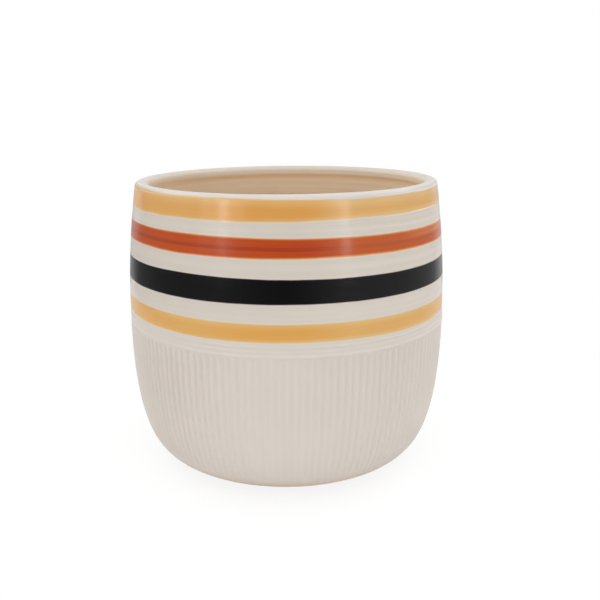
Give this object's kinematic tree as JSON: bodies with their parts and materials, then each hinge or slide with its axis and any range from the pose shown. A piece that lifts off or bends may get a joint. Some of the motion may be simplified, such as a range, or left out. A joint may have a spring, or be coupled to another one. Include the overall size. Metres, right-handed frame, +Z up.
{
  "type": "planter pot",
  "caption": "Round glazed stoneware planter pot with painted colour bands on its smooth upper wall, a fluted lower wall, felt pads under its foot ring and a drain plug that lifts out.",
  "frame": {"origin": "on the pot's axis, at the height of the surface that the felt pads stand on", "axes": "+Z up along the pot's axis; the pot is round, and -Y is the side that the picture shows"},
  "size_m": [0.153, 0.153, 0.1355],
  "materials": {
    "cream_glaze": "satin glaze over stoneware",
    "yellow_coat": "brushed colour under a satin glaze",
    "rust_coat": "brushed colour under a satin glaze",
    "black_coat": "brushed colour under a satin glaze",
    "plug_silicone": "matte moulded",
    "pad_felt": "pressed felt"
  },
  "bodies": {
    "pot": {"pot_body": "cream_glaze", "upper_yellow_band": "yellow_coat", "rust_band": "rust_coat", "black_band": "black_coat", "lower_yellow_band": "yellow_coat", "foot_pad_1": "pad_felt", "foot_pad_2": "pad_felt", "foot_pad_3": "pad_felt", "foot_pad_4": "pad_felt"},
    "plug": {"drain_plug": "plug_silicone"}
  },
  "joints": [
    {"name": "plug_lift", "type": "slide", "parent": "pot", "child": "plug", "axis": [0, 0, 1], "range_m": [0, 0.15]}
  ]
}
